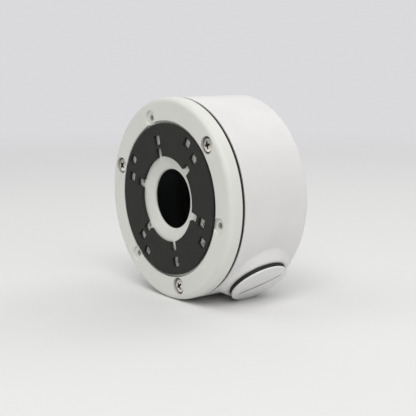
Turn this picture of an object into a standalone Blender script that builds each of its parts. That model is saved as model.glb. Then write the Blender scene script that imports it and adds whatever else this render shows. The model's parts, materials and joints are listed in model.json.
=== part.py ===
# Round cast junction box for a surface mounted camera.
# A deep back box, a cover plate with a recess and a rubber pad, a gasket in the seam, three cover
# screws, and a conduit entry in the side wall, closed by a slotted plug on a seal.
#
# Metres, +Z up. The wall face is the plane Y = 0 and the front looks along -Y. The box lies on its
# round side, rolled until the rim of the plug meets the ground, and the origin is the centre of the
# wall face. Angles on the front are counter-clockwise from +X, seen from the front.

from math import asin, atan2, cos, degrees, hypot, pi, radians, sin, sqrt

import bmesh
import bpy
from mathutils import Matrix, Vector

MM = 0.001

# What pieces that touch on the real box keep between them
GAP = 0.3 * MM

# Conduit entry and its thread
THREAD_RADIUS = 12.5 * MM
THREAD_LENGTH = 8.1 * MM
ENTRY_LAND = 3.0 * MM           # flat ring of the boss around the thread
ENTRY_RISE = 1.4 * MM           # how far the boss face stands past the round wall
ENTRY_BLEND = 4.4 * MM          # width of the soft flank between boss and wall
ENTRY_SLEEVE = 3.5 * MM         # metal around the thread, inside the box
ENTRY_SKIN = 0.05 * MM          # how far the foot of the flank lies under the round wall
ENTRY_REAR_MARGIN = 3.4 * MM    # from the boss face to the wall plane
ENTRY_FRONT_MARGIN = 5.3 * MM   # from the boss face to the rim of the box

# Plug and its seal
PLUG_FLANGE = 2.3 * MM          # how far the head overhangs the thread
PLUG_HEAD = 0.9 * MM
PLUG_FLOOR = 3.05 * MM
PLUG_WALL = 2.5 * MM
PLUG_ROUNDING = 0.25 * MM
SEAL_WIDTH = 2.1 * MM
SEAL_THICKNESS = 1.3 * MM
SLOT_WIDTH = 2.5 * MM
SLOT_LENGTH = 21.0 * MM
SLOT_DEPTH = 1.2 * MM
SLOT_TURN = 123.4               # degrees, from the plug's tangent

# Back box
OUTER_RADIUS = 50.0 * MM
BOX_WALL = 3.0 * MM
BOX_FLOOR = 3.0 * MM
REAR_ROUNDING = 1.4 * MM
INNER_ROUNDING = 2.0 * MM
RIM_CHAMFER = 0.3 * MM
WALL_RELIEF = 0.3 * MM          # the boss stops this far short of the wall plane
FIXING_RADIUS = 2.6 * MM
FIXING_PAD_RADIUS = 5.5 * MM
FIXING_PAD_RISE = 1.5 * MM
FIXING_INSET = 11.0 * MM        # fixing holes, from the inner wall
FIXING_COUNT = 4
REAR_HOLE_RADIUS = 11.0 * MM
REAR_HOLE_OFFSET = 16.0 * MM

# Seam and gasket
GASKET_THICKNESS = 0.55 * MM
GASKET_INSET = 0.5 * MM         # gasket edge, from the round wall
GASKET_WIDTH = 2.0 * MM
BEAD_WIDTH = 0.7 * MM
BEAD_HEIGHT = 0.8 * MM

# Cover plate
COVER_DEPTH = 7.15 * MM
COVER_ROUNDING = 2.6 * MM
COVER_BACK_ROUNDING = 0.4 * MM
RECESS_DEPTH = 1.4 * MM
PLATE_THICKNESS = 3.2 * MM      # under the recess, where the casting is hollow
POCKET_INSET = 1.0 * MM         # edge of that hollow, inside the recess wall
BORE_RADIUS = 14.75 * MM
BORE_ROUNDING = 0.8 * MM
DISH_DEPTH = 1.6 * MM           # the recess floor slopes down to the bore
DISH_INSET = 0.4 * MM           # start of that slope, inside the pad edge
EDGE_CHAMFER = 0.35 * MM
SPIGOT_WIDTH = 1.8 * MM
SPIGOT_HEIGHT = 2.5 * MM

# Cover screws, three around the cover
SCREW_COUNT = 3
SCREW_TURN = 90.0               # degrees, from the plug
SCREW_SHANK_RADIUS = 1.9 * MM
SCREW_HEAD_RADIUS = 3.75 * MM
SCREW_HEAD_HEIGHT = 2.3 * MM
SCREW_LENGTH = 13.5 * MM
SCREW_DOME = 0.9 * MM
SCREW_SINK = 0.8 * MM           # top of the head, below the cover face
SINK_CLEARANCE = 0.45 * MM      # around the head, in its counterbore
RECESS_WEB = 0.3 * MM           # metal between counterbore and recess
BOSS_WALL = 2.1 * MM
BOSS_OVERLAP = 0.4 * MM         # how far a screw boss runs into the round wall
BOSS_SET_BACK = 0.2 * MM

# Mounting holes in the cover
TAPPED_RADIUS = 1.3 * MM
EAR_HOLE_RADIUS = 1.6 * MM
EAR_RADIUS = 3.9 * MM
EAR_STEP = 0.3 * MM             # ear floors, above the recess floor
EAR_REACH = 3.0 * MM            # ear holes, outside the recess
EAR_TURN = 67.3                 # degrees, from the screws
HOLE_SHIFT = 0.35 * MM          # the holes sit this far outside the middles of the cut-outs
PAIR_REACH = 8.4 * MM           # the pair of inner holes, outside the bore

# Pad in the recess
PAD_THICKNESS = 1.6 * MM
PAD_MARGIN = 1.15 * MM          # between pad and recess wall
PAD_TWIST = 2.2                 # degrees, the pad is stuck on a little turned
PAD_INNER_REACH = 6.4 * MM      # pad edge, outside the bore
NOTCH_COUNT = 6
NOTCH_WIDTH = 4.3 * MM
NOTCH_DEPTH = 4.3 * MM
CUTOUT_SIZE = 4.8 * MM
CUTOUT_CORNER = 0.9 * MM
# Three rings of cut-outs, with their insets from the pad edge and their turns from the screws
SQUARE_COUNT = 4
SQUARE_INSET = 4.0 * MM
SQUARE_TURN = 14.6
TRIO_COUNT = 3
OUTER_TRIO_INSET = 6.4 * MM
OUTER_TRIO_TURN = 0.0
INNER_TRIO_INSET = 7.9 * MM
INNER_TRIO_TURN = 60.0

BIG_STEPS = 72
MIDDLE_STEPS = 48
SMALL_STEPS = 24
FLANK_STEPS = 7
OVERSHOOT = 1.0 * MM            # how far a cutter runs past what it cuts
MERGE = 0.02 * MM               # points this close are one

# Heights above the wall plane, in the order of the stack
ENTRY_FACE_RADIUS = THREAD_RADIUS + ENTRY_LAND
ENTRY_HEIGHT = ENTRY_REAR_MARGIN + ENTRY_FACE_RADIUS
BOX_DEPTH = ENTRY_HEIGHT + ENTRY_FACE_RADIUS + ENTRY_FRONT_MARGIN
GASKET_BASE = BOX_DEPTH + GAP
COVER_BASE = GASKET_BASE + GASKET_THICKNESS + GAP
FRONT = COVER_BASE + COVER_DEPTH
RECESS_FLOOR = FRONT - RECESS_DEPTH
PLATE_UNDERSIDE = RECESS_FLOOR - PLATE_THICKNESS
SCREW_SEAT = FRONT - SCREW_SINK - SCREW_HEAD_HEIGHT

# Radii that follow from what sits beside them
BOX_INNER = OUTER_RADIUS - BOX_WALL
SCREW_BOSS_RADIUS = SCREW_SHANK_RADIUS + GAP + BOSS_WALL
SCREW_CIRCLE = BOX_INNER + BOSS_OVERLAP - SCREW_BOSS_RADIUS
SINK_RADIUS = SCREW_HEAD_RADIUS + SINK_CLEARANCE
RECESS_RADIUS = SCREW_CIRCLE - SINK_RADIUS - RECESS_WEB
POCKET_RADIUS = RECESS_RADIUS - POCKET_INSET
EAR_CIRCLE = RECESS_RADIUS + EAR_REACH
PAD_RADIUS = RECESS_RADIUS - PAD_MARGIN
PAD_INNER = BORE_RADIUS + PAD_INNER_REACH
DISH_RADIUS = PAD_INNER - DISH_INSET
GASKET_OUTER = OUTER_RADIUS - GASKET_INSET
GASKET_INNER = GASKET_OUTER - GASKET_WIDTH
BEAD_MIDDLE = (GASKET_OUTER + GASKET_INNER) / 2

# The plug, out from the axis of the box
ENTRY_FACE = OUTER_RADIUS + ENTRY_RISE
SLEEVE_END = ENTRY_FACE - THREAD_LENGTH - GAP
HEAD_BASE = GAP + SEAL_THICKNESS + GAP
HEAD_FACE = HEAD_BASE + PLUG_HEAD
PLUG_RADIUS = THREAD_RADIUS + PLUG_FLANGE
PLUG_REACH = ENTRY_FACE + HEAD_FACE

# The roll at which the round wall and the rim of the plug stand on one level
PLUG_ANGLE = -(asin(OUTER_RADIUS / hypot(PLUG_REACH, PLUG_RADIUS)) - atan2(PLUG_RADIUS, PLUG_REACH))
SCREW_ANGLE = PLUG_ANGLE + radians(SCREW_TURN)


def clear_scene():
    for thing in list(bpy.data.objects):
        bpy.data.objects.remove(thing, do_unlink=True)


def paint(name, colour, roughness, metallic=0.0):
    material = bpy.data.materials.new(name)
    material.use_nodes = True
    shader = material.node_tree.nodes["Principled BSDF"]
    shader.inputs["Base Color"].default_value = (*colour, 1.0)
    shader.inputs["Roughness"].default_value = roughness
    shader.inputs["Metallic"].default_value = metallic
    return material


def frame(name, matrix):
    # An empty that carries pieces whose own Z runs along their axis
    empty = bpy.data.objects.new(name, None)
    empty.matrix_world = matrix
    bpy.context.scene.collection.objects.link(empty)
    return empty


def finish_mesh(name, bm, parent):
    bmesh.ops.recalc_face_normals(bm, faces=bm.faces)
    mesh = bpy.data.meshes.new(name)
    bm.to_mesh(mesh)
    bm.free()
    thing = bpy.data.objects.new(name, mesh)
    thing.parent = parent
    bpy.context.scene.collection.objects.link(thing)
    return thing


def arc(centre, radius, start, end, steps):
    # Points of a round stretch, from one angle to another in degrees
    angles = [radians(start + (end - start) * k / steps) for k in range(steps + 1)]
    return [(centre[0] + radius * cos(a), centre[1] + radius * sin(a)) for a in angles]


def turn_profile(bm, profile, steps, at=(0.0, 0.0)):
    # Revolves a profile of (radius, height) about Z. A flat end on the axis becomes one face, and
    # any other end there a fan of faces.
    start = [bm.verts.new((radius + at[0], at[1], height)) for radius, height in profile]
    edges = [bm.edges.new(pair) for pair in zip(start, start[1:])]
    if profile[0][0] > 0 and profile[-1][0] > 0:
        edges.append(bm.edges.new((start[-1], start[0])))
    bmesh.ops.spin(bm, geom=start + edges, cent=(*at, 0), axis=(0, 0, 1), angle=2 * pi,
                   steps=steps, use_merge=True)
    on_axis = [v for v in bm.verts if hypot(v.co.x - at[0], v.co.y - at[1]) < MERGE]
    bmesh.ops.remove_doubles(bm, verts=on_axis, dist=MERGE)
    hubs = [v for v in on_axis if v.is_valid]
    flat = [v for v in hubs if all(abs(e.other_vert(v).co.z - v.co.z) < MERGE for e in v.link_edges)]
    bmesh.ops.dissolve_verts(bm, verts=flat)


def turned_piece(name, profile, steps, parent):
    bm = bmesh.new()
    turn_profile(bm, profile, steps)
    return finish_mesh(name, bm, parent)


def rod(radius, low, high):
    return [(0.0, low), (radius, low), (radius, high), (0.0, high)]


def on_circle(radius, angle):
    return (radius * cos(angle), radius * sin(angle))


def around(count, first=0.0):
    return [first + 2 * pi * k / count for k in range(count)]


def tool(name, shapes, parent):
    # One hidden body made of separate turned shapes, for a Boolean modifier
    bm = bmesh.new()
    for profile, at, steps in shapes:
        turn_profile(bm, profile, steps, at)
    thing = finish_mesh(name, bm, parent)
    return hide(thing)


def hide(thing):
    thing.hide_render = True
    thing.display_type = "WIRE"
    return thing


def combine(thing, other, operation):
    modifier = thing.modifiers.new(other.name, "BOOLEAN")
    modifier.operation = operation
    modifier.solver = "EXACT"
    modifier.object = other


def dress(thing, material, sharp=30.0):
    thing.data.materials.clear()
    thing.data.materials.append(material)
    thing.data.shade_smooth()
    thing.data.set_sharp_from_angle(angle=radians(sharp))


def box_shell_profile():
    outside = [(0.0, 0.0)]
    outside += arc((OUTER_RADIUS - REAR_ROUNDING, REAR_ROUNDING), REAR_ROUNDING, -90, 0, 3)
    outside += [(OUTER_RADIUS, BOX_DEPTH - RIM_CHAMFER), (OUTER_RADIUS - RIM_CHAMFER, BOX_DEPTH)]
    corner = (BOX_INNER - INNER_ROUNDING, BOX_FLOOR + INNER_ROUNDING)
    inside = [(BOX_INNER, BOX_DEPTH)] + arc(corner, INNER_ROUNDING, 0, -90, 2) + [(0.0, BOX_FLOOR)]
    return outside + inside


def conduit_boss(parent):
    # The boss is turned as a straight step about the plug's axis, with heights of -2 to 1, and each
    # height is then moved to its own surface: -2 the end of the sleeve, -1 the middle of the wall,
    # 0 just under the skin, 1 the face. So the soft flank follows the round wall all the way round.
    blend = min(ENTRY_BLEND, ENTRY_FRONT_MARGIN - 2 * GAP)
    foot = ENTRY_FACE_RADIUS + blend
    sleeve = THREAD_RADIUS + ENTRY_SLEEVE
    profile = [(0.0, 1.0)]
    for k in range(FLANK_STEPS + 1):
        share = k / FLANK_STEPS
        profile.append((ENTRY_FACE_RADIUS + blend * share, (1 + cos(pi * share)) / 2))
    profile += [(foot, -1.0), (sleeve, -1.0), (sleeve, -2.0), (0.0, -2.0)]
    skin = OUTER_RADIUS - ENTRY_SKIN
    middle = OUTER_RADIUS - BOX_WALL / 2

    bm = bmesh.new()
    turn_profile(bm, profile, MIDDLE_STEPS)
    for vert in bm.verts:
        across = min(abs(vert.co.x), skin)
        surfaces = {1: ENTRY_FACE, 0: sqrt(skin ** 2 - across ** 2),
                    -1: sqrt(middle ** 2 - min(across, middle) ** 2), -2: SLEEVE_END}
        low = min(int((vert.co.z + 2) // 1) - 2, 0)
        share = vert.co.z - low
        vert.co.z = surfaces[low] + (surfaces[low + 1] - surfaces[low]) * share
    trim = -(ENTRY_HEIGHT - WALL_RELIEF)
    everything = list(bm.verts) + list(bm.edges) + list(bm.faces)
    bmesh.ops.bisect_plane(bm, geom=everything, plane_co=(0, trim, 0), plane_no=(0, -1, 0),
                           clear_outer=True)
    bmesh.ops.holes_fill(bm, edges=[e for e in bm.edges if e.is_boundary], sides=0)
    bmesh.ops.triangulate(bm, faces=bm.faces)
    return hide(finish_mesh("conduit_boss_shape", bm, parent))


def back_box(front_frame, plug_frame, material):
    box = turned_piece("back_box", box_shell_profile(), BIG_STEPS, front_frame)
    fixing_circle = BOX_INNER - FIXING_INSET
    fixing_angles = around(FIXING_COUNT, PLUG_ANGLE + pi / FIXING_COUNT)
    screw_angles = around(SCREW_COUNT, SCREW_ANGLE)

    bosses = [(rod(SCREW_BOSS_RADIUS, BOX_FLOOR / 2, BOX_DEPTH - BOSS_SET_BACK),
               on_circle(SCREW_CIRCLE, a), SMALL_STEPS) for a in screw_angles]
    bosses += [(rod(FIXING_PAD_RADIUS, BOX_FLOOR / 2, BOX_FLOOR + FIXING_PAD_RISE),
                on_circle(fixing_circle, a), SMALL_STEPS) for a in fixing_angles]
    combine(box, tool("box_bosses", bosses, front_frame), "UNION")
    combine(box, conduit_boss(plug_frame), "UNION")

    screw_tip = SCREW_SEAT - SCREW_LENGTH
    holes = [(rod(SCREW_SHANK_RADIUS + GAP, screw_tip - OVERSHOOT, BOX_DEPTH + OVERSHOOT),
              on_circle(SCREW_CIRCLE, a), SMALL_STEPS) for a in screw_angles]
    fixing_top = BOX_FLOOR + FIXING_PAD_RISE + OVERSHOOT
    holes += [(rod(FIXING_RADIUS, -OVERSHOOT, fixing_top), on_circle(fixing_circle, a), SMALL_STEPS)
              for a in fixing_angles]
    holes.append((rod(REAR_HOLE_RADIUS, -OVERSHOOT, BOX_FLOOR + OVERSHOOT),
                  on_circle(REAR_HOLE_OFFSET, PLUG_ANGLE + pi), MIDDLE_STEPS))
    combine(box, tool("box_holes", holes, front_frame), "DIFFERENCE")

    groove_inner = BEAD_MIDDLE - BEAD_WIDTH / 2 - GAP
    groove_outer = BEAD_MIDDLE + BEAD_WIDTH / 2 + GAP
    groove_floor = BOX_DEPTH - BEAD_HEIGHT - GAP
    groove = [(groove_inner, groove_floor), (groove_outer, groove_floor),
              (groove_outer, BOX_DEPTH + OVERSHOOT), (groove_inner, BOX_DEPTH + OVERSHOOT)]
    groove_tool = tool("gasket_groove", [(groove, (0, 0), BIG_STEPS)], front_frame)
    groove_tool.rotation_euler = (0, 0, pi / BIG_STEPS)
    combine(box, groove_tool, "DIFFERENCE")

    entry = rod(THREAD_RADIUS + GAP, SLEEVE_END - OVERSHOOT, ENTRY_FACE + OVERSHOOT)
    combine(box, tool("conduit_bore", [(entry, (0, 0), MIDDLE_STEPS)], plug_frame), "DIFFERENCE")
    dress(box, material)


def cover_profile():
    lip = (BORE_RADIUS + BORE_ROUNDING, RECESS_FLOOR - DISH_DEPTH - BORE_ROUNDING)
    rim = (OUTER_RADIUS - COVER_ROUNDING, FRONT - COVER_ROUNDING)
    back = (OUTER_RADIUS - COVER_BACK_ROUNDING, COVER_BASE + COVER_BACK_ROUNDING)
    spigot_outer = BOX_INNER - GAP
    spigot_inner = spigot_outer - SPIGOT_WIDTH
    spigot_tip = COVER_BASE - SPIGOT_HEIGHT
    profile = [(BORE_RADIUS, PLATE_UNDERSIDE)] + arc(lip, BORE_ROUNDING, 180, 90, 2)
    profile += [(DISH_RADIUS, RECESS_FLOOR), (RECESS_RADIUS, RECESS_FLOOR),
                (RECESS_RADIUS, FRONT - EDGE_CHAMFER), (RECESS_RADIUS + EDGE_CHAMFER, FRONT)]
    profile += arc(rim, COVER_ROUNDING, 90, 0, 3) + arc(back, COVER_BACK_ROUNDING, 0, -90, 2)
    profile += [(spigot_outer, COVER_BASE), (spigot_outer, spigot_tip),
                (spigot_inner, spigot_tip), (spigot_inner, COVER_BASE),
                (POCKET_RADIUS, COVER_BASE), (POCKET_RADIUS, PLATE_UNDERSIDE)]
    return profile


def stepped_hole(hole_radius, sink_radius, sink_floor):
    # A through hole below a wider sink with a chamfered mouth at the cover face
    above = FRONT + OVERSHOOT
    return [(0.0, COVER_BASE - SPIGOT_HEIGHT - OVERSHOOT),
            (hole_radius, COVER_BASE - SPIGOT_HEIGHT - OVERSHOOT), (hole_radius, sink_floor),
            (sink_radius, sink_floor), (sink_radius, FRONT - EDGE_CHAMFER),
            (sink_radius + EDGE_CHAMFER + OVERSHOOT, above), (0.0, above)]


def tapped_holes():
    # A hole in every cut-out of the pad, but the second of each three sits further in, in a notch
    outer_angles = around(TRIO_COUNT, radians(OUTER_TRIO_TURN))
    inner_angles = around(TRIO_COUNT, radians(INNER_TRIO_TURN))
    notch_angles = outer_angles.pop(1), inner_angles.pop(1)
    places = [(SQUARE_INSET, a) for a in around(SQUARE_COUNT, radians(SQUARE_TURN))]
    places += [(OUTER_TRIO_INSET, a) for a in outer_angles]
    places += [(INNER_TRIO_INSET, a) for a in inner_angles]
    circles = [(PAD_RADIUS - inset + HOLE_SHIFT, a) for inset, a in places]
    circles += [(BORE_RADIUS + PAIR_REACH, a) for a in notch_angles]
    return [on_circle(radius, SCREW_ANGLE + a) for radius, a in circles]


def front_cover(front_frame, material):
    cover = turned_piece("front_cover", cover_profile(), BIG_STEPS, front_frame)
    screw_angles = around(SCREW_COUNT, SCREW_ANGLE)
    ear_angles = around(SCREW_COUNT, SCREW_ANGLE + radians(EAR_TURN))
    sink_floor = SCREW_SEAT - GAP

    relief_radius = SCREW_BOSS_RADIUS + GAP
    reliefs = [(rod(relief_radius, COVER_BASE - SPIGOT_HEIGHT - OVERSHOOT, COVER_BASE + GAP / 3),
                on_circle(SCREW_CIRCLE, a), SMALL_STEPS) for a in screw_angles]
    combine(cover, tool("spigot_reliefs", reliefs, front_frame), "DIFFERENCE")

    sinks = [(stepped_hole(SCREW_SHANK_RADIUS + GAP, SINK_RADIUS, sink_floor),
              on_circle(SCREW_CIRCLE, a), SMALL_STEPS) for a in screw_angles]
    sinks += [(stepped_hole(EAR_HOLE_RADIUS, EAR_RADIUS, RECESS_FLOOR + EAR_STEP),
               on_circle(EAR_CIRCLE, a), SMALL_STEPS) for a in ear_angles]
    combine(cover, tool("cover_sinks", sinks, front_frame), "DIFFERENCE")

    through = rod(TAPPED_RADIUS, COVER_BASE - OVERSHOOT, RECESS_FLOOR + OVERSHOOT)
    taps = [(through, at, SMALL_STEPS // 2) for at in tapped_holes()]
    combine(cover, tool("tapped_holes", taps, front_frame), "DIFFERENCE")
    dress(cover, material)


def cover_gasket(front_frame, material):
    top = GASKET_BASE + GASKET_THICKNESS
    bead_low = BOX_DEPTH - BEAD_HEIGHT
    half = BEAD_WIDTH / 2
    profile = [(GASKET_INNER, GASKET_BASE), (GASKET_INNER, top), (GASKET_OUTER, top),
               (GASKET_OUTER, GASKET_BASE), (BEAD_MIDDLE + half, GASKET_BASE),
               (BEAD_MIDDLE + half, bead_low), (BEAD_MIDDLE - half, bead_low),
               (BEAD_MIDDLE - half, GASKET_BASE)]
    dress(turned_piece("cover_gasket", profile, BIG_STEPS, front_frame), material)


def rounded_block(bm, half_x, half_y, corner, low, high, place):
    # An upright block with rounded corners, cut from a plate and set by a matrix
    centres = [(half_x - corner, half_y - corner), (corner - half_x, half_y - corner),
               (corner - half_x, corner - half_y), (half_x - corner, corner - half_y)]
    outline = []
    for quarter, centre in enumerate(centres):
        outline += arc(centre, corner, 90 * quarter, 90 * quarter + 90, 3)
    face = bm.faces.new([bm.verts.new(place @ Vector((x, y, low))) for x, y in outline])
    raised = bmesh.ops.extrude_face_region(bm, geom=[face])["geom"]
    top = [v for v in raised if isinstance(v, bmesh.types.BMVert)]
    bmesh.ops.translate(bm, vec=(0, 0, high - low), verts=top)


def mounting_pad(front_frame, material):
    low = RECESS_FLOOR + GAP
    high = low + PAD_THICKNESS
    profile = [(PAD_INNER, low), (PAD_RADIUS, low), (PAD_RADIUS, high), (PAD_INNER, high)]
    pad = turned_piece("mounting_pad", profile, BIG_STEPS, front_frame)
    pad_turn = SCREW_ANGLE + radians(PAD_TWIST)

    def at(radius, angle):
        return Matrix.Rotation(pad_turn + angle, 4, "Z") @ Matrix.Translation((radius, 0, 0))

    def cut_ring(name, radius, angles, half_long, half_wide):
        ring = bmesh.new()
        for angle in angles:
            rounded_block(ring, half_long, half_wide, CUTOUT_CORNER,
                          low - OVERSHOOT, high + OVERSHOOT, at(radius, angle))
        combine(pad, hide(finish_mesh(name, ring, front_frame)), "DIFFERENCE")

    # The inner half of each notch block lies in the bore of the pad
    half = CUTOUT_SIZE / 2
    cut_ring("pad_notches", PAD_INNER, around(NOTCH_COUNT), NOTCH_DEPTH, NOTCH_WIDTH / 2)
    cut_ring("square_cutouts", PAD_RADIUS - SQUARE_INSET,
             around(SQUARE_COUNT, radians(SQUARE_TURN)), half, half)
    cut_ring("outer_trio_cutouts", PAD_RADIUS - OUTER_TRIO_INSET,
             around(TRIO_COUNT, radians(OUTER_TRIO_TURN)), half, half)
    cut_ring("inner_trio_cutouts", PAD_RADIUS - INNER_TRIO_INSET,
             around(TRIO_COUNT, radians(INNER_TRIO_TURN)), half, half)
    dress(pad, material)


def cover_screws(front_frame, material):
    # The crown of the pan head is a part of a circle, from the middle down to the rim
    crown_radius = (SCREW_HEAD_RADIUS ** 2 + SCREW_DOME ** 2) / (2 * SCREW_DOME)
    crown_edge = degrees(atan2(crown_radius - SCREW_DOME, SCREW_HEAD_RADIUS))
    crown = arc((0.0, SCREW_HEAD_HEIGHT - crown_radius), crown_radius, 90, crown_edge, 3)
    profile = [(0.0, SCREW_HEAD_HEIGHT)] + crown[1:]
    profile += [(SCREW_HEAD_RADIUS, 0.0), (SCREW_SHANK_RADIUS, 0.0),
               (SCREW_SHANK_RADIUS, -SCREW_LENGTH + GAP), (0.0, -SCREW_LENGTH)]
    for number, angle in enumerate(around(SCREW_COUNT, SCREW_ANGLE), start=1):
        screw = turned_piece(f"cover_screw_{number}", profile, SMALL_STEPS, front_frame)
        screw.location = (*on_circle(SCREW_CIRCLE, angle), SCREW_SEAT)
        dress(screw, material)


def conduit_plug(plug_pivot, material):
    tip = HEAD_BASE - GAP - SEAL_THICKNESS - GAP - THREAD_LENGTH
    hollow_radius = THREAD_RADIUS - PLUG_WALL
    hollow_top = HEAD_FACE - PLUG_FLOOR
    profile = [(0.0, HEAD_FACE), (PLUG_RADIUS - PLUG_ROUNDING, HEAD_FACE),
               (PLUG_RADIUS, HEAD_FACE - PLUG_ROUNDING), (PLUG_RADIUS, HEAD_BASE),
               (THREAD_RADIUS, HEAD_BASE), (THREAD_RADIUS, tip + 2 * PLUG_ROUNDING),
               (THREAD_RADIUS - 2 * PLUG_ROUNDING, tip), (hollow_radius, tip),
               (hollow_radius, hollow_top), (0.0, hollow_top)]
    plug = turned_piece("conduit_plug", profile, MIDDLE_STEPS, plug_pivot)

    # The slot has the round floor that a disc cutter leaves
    half_length = SLOT_LENGTH / 2
    disc_radius = (half_length ** 2 + SLOT_DEPTH ** 2) / (2 * SLOT_DEPTH)
    disc = turned_piece("slot_cutter", rod(disc_radius, -SLOT_WIDTH / 2, SLOT_WIDTH / 2),
                        2 * MIDDLE_STEPS, plug_pivot)
    lift = Matrix.Translation((0, 0, HEAD_FACE - SLOT_DEPTH + disc_radius))
    turn = Matrix.Rotation(radians(SLOT_TURN), 4, "Z") @ Matrix.Rotation(pi / 2, 4, "X")
    disc.matrix_local = lift @ turn
    combine(plug, hide(disc), "DIFFERENCE")
    dress(plug, material)


def plug_seal(plug_pivot, material):
    inner = THREAD_RADIUS + GAP
    outer = THREAD_RADIUS + SEAL_WIDTH
    rounding = SEAL_THICKNESS / 4
    low = GAP
    high = GAP + SEAL_THICKNESS
    profile = [(inner, low), (outer - rounding, low), (outer, low + rounding),
               (outer, high - rounding), (outer - rounding, high), (inner, high)]
    dress(turned_piece("plug_seal", profile, MIDDLE_STEPS, plug_pivot), material)


def build():
    clear_scene()
    coat = paint("white_powder_coat", (0.79, 0.79, 0.76), 0.42)
    plug_coat = paint("white_plug_coat", (0.80, 0.80, 0.79), 0.45)
    rubber = paint("black_rubber", (0.018, 0.018, 0.018), 0.7)
    pad_rubber = paint("dark_pad_rubber", (0.032, 0.032, 0.029), 0.85)
    steel = paint("stainless_steel", (0.62, 0.60, 0.56), 0.28, 1.0)

    # In this frame Z runs from the wall plane to the front, and X and Y are as seen from the front
    front_frame = frame("front_frame", Matrix.Rotation(pi / 2, 4, "X"))
    outward = Vector((cos(PLUG_ANGLE), 0, sin(PLUG_ANGLE)))
    tangent = Vector((-sin(PLUG_ANGLE), 0, cos(PLUG_ANGLE)))
    turned_to_plug = Matrix((tangent, (0, -1, 0), outward)).transposed().to_4x4()
    entry_centre = Vector((0, -ENTRY_HEIGHT, 0))
    plug_frame = frame("entry_frame", Matrix.Translation(entry_centre) @ turned_to_plug)
    on_face = entry_centre + outward * ENTRY_FACE
    plug_pivot = frame("plug_axis", Matrix.Translation(on_face) @ turned_to_plug)

    back_box(front_frame, plug_frame, coat)
    front_cover(front_frame, coat)
    cover_gasket(front_frame, rubber)
    mounting_pad(front_frame, pad_rubber)
    cover_screws(front_frame, steel)
    conduit_plug(plug_pivot, plug_coat)
    plug_seal(plug_pivot, rubber)


build()
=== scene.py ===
# Looks of a round cast junction box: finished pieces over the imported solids, floor, lights and camera.
import json
from math import atan2, cos, hypot, pi, radians, sin, sqrt

import bmesh
import bpy
from mathutils import Matrix, Vector


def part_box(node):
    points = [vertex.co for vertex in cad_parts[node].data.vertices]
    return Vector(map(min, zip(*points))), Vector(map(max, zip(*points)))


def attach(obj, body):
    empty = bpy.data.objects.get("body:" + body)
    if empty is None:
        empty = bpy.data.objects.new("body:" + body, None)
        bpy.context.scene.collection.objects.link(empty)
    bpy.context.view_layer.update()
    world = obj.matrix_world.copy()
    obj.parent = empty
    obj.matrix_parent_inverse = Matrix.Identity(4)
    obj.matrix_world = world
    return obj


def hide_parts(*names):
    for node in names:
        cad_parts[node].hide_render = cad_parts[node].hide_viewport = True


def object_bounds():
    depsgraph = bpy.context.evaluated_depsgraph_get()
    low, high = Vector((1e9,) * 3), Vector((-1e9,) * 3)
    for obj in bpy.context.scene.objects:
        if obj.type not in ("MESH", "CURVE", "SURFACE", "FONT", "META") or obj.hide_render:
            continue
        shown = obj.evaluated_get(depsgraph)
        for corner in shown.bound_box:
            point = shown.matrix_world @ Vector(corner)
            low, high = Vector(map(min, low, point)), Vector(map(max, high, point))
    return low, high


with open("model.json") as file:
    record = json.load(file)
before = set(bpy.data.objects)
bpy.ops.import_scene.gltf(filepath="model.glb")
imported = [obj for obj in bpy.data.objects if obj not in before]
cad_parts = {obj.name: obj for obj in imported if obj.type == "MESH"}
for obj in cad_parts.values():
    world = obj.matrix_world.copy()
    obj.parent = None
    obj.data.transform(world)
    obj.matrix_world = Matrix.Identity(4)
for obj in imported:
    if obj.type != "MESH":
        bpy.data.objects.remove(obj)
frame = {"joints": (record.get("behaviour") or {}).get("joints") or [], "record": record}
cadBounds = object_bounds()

mm = 0.001
gap = 0.3 * mm      # what touching pieces keep between them
same = 0.001 * mm   # points closer than this are one
past = 1.0 * mm     # how far a cutter runs past what it cuts
about = 0.1 * mm    # how far off a surface the middle of one of its faces may lie

# What the photo shows a little otherwise than the solids: a wider seam, and screws nearer to the face
photoFit = {"seamIntoBox": 0.3 * mm, "seamIntoCover": 0.2 * mm, "screwRise": 0.4 * mm}


# Where things are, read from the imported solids. The front view has X across, Y up and Z out from the
# wall. The plug's own view has X along its tangent and Z outwards.
frontView = Matrix.Rotation(pi / 2, 4, "X")


def frontBox(node):
    low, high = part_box(node)
    return Vector((low.x, low.z, -high.y)), Vector((high.x, high.z, -low.y))


coverRadius = frontBox("front_cover")[1].x
frontHeight = frontBox("front_cover")[1].z
boxDepth = frontBox("back_box")[1].z - photoFit["seamIntoBox"]
padLow, padHigh = frontBox("mounting_pad")
gasketLow, gasketHigh = frontBox("cover_gasket")
screwLow, screwHigh = frontBox("cover_screw_1")
screwHigh.z += photoFit["screwRise"]
sealRadius = (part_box("plug_seal")[1].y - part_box("plug_seal")[0].y) / 2
plugRadius = (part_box("conduit_plug")[1].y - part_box("conduit_plug")[0].y) / 2
coverBase = gasketHigh.z + gap + photoFit["seamIntoCover"]
recessFloor = padLow.z - gap
screwMiddle = (screwLow + screwHigh) / 2
screwCircle = hypot(screwMiddle.x, screwMiddle.y)
screwAngle = atan2(screwMiddle.y, screwMiddle.x)

plugJoint = next(j for j in frame["joints"] if j["name"] == "plug_turn")
plugOut = Vector(plugJoint["axis"])
entryPoint = Vector(plugJoint["pos_m"])
plugAngle = atan2(plugOut.z, plugOut.x)
entryFace = hypot(entryPoint.x, entryPoint.z)
plugTangent = Vector((-plugOut.z, 0, plugOut.x))
plugTurned = Matrix((plugTangent, (0, -1, 0), plugOut)).transposed().to_4x4()
plugView = Matrix.Translation(entryPoint) @ plugTurned
entryView = Matrix.Translation((0, entryPoint.y, 0)) @ plugTurned
bodyOf = {node: body for body, nodes in frame["record"]["behaviour"]["bodies"].items() for node in nodes}
print("frame read")


def around(count, first=0.0):
    return [first + 2 * pi * k / count for k in range(count)]


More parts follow.
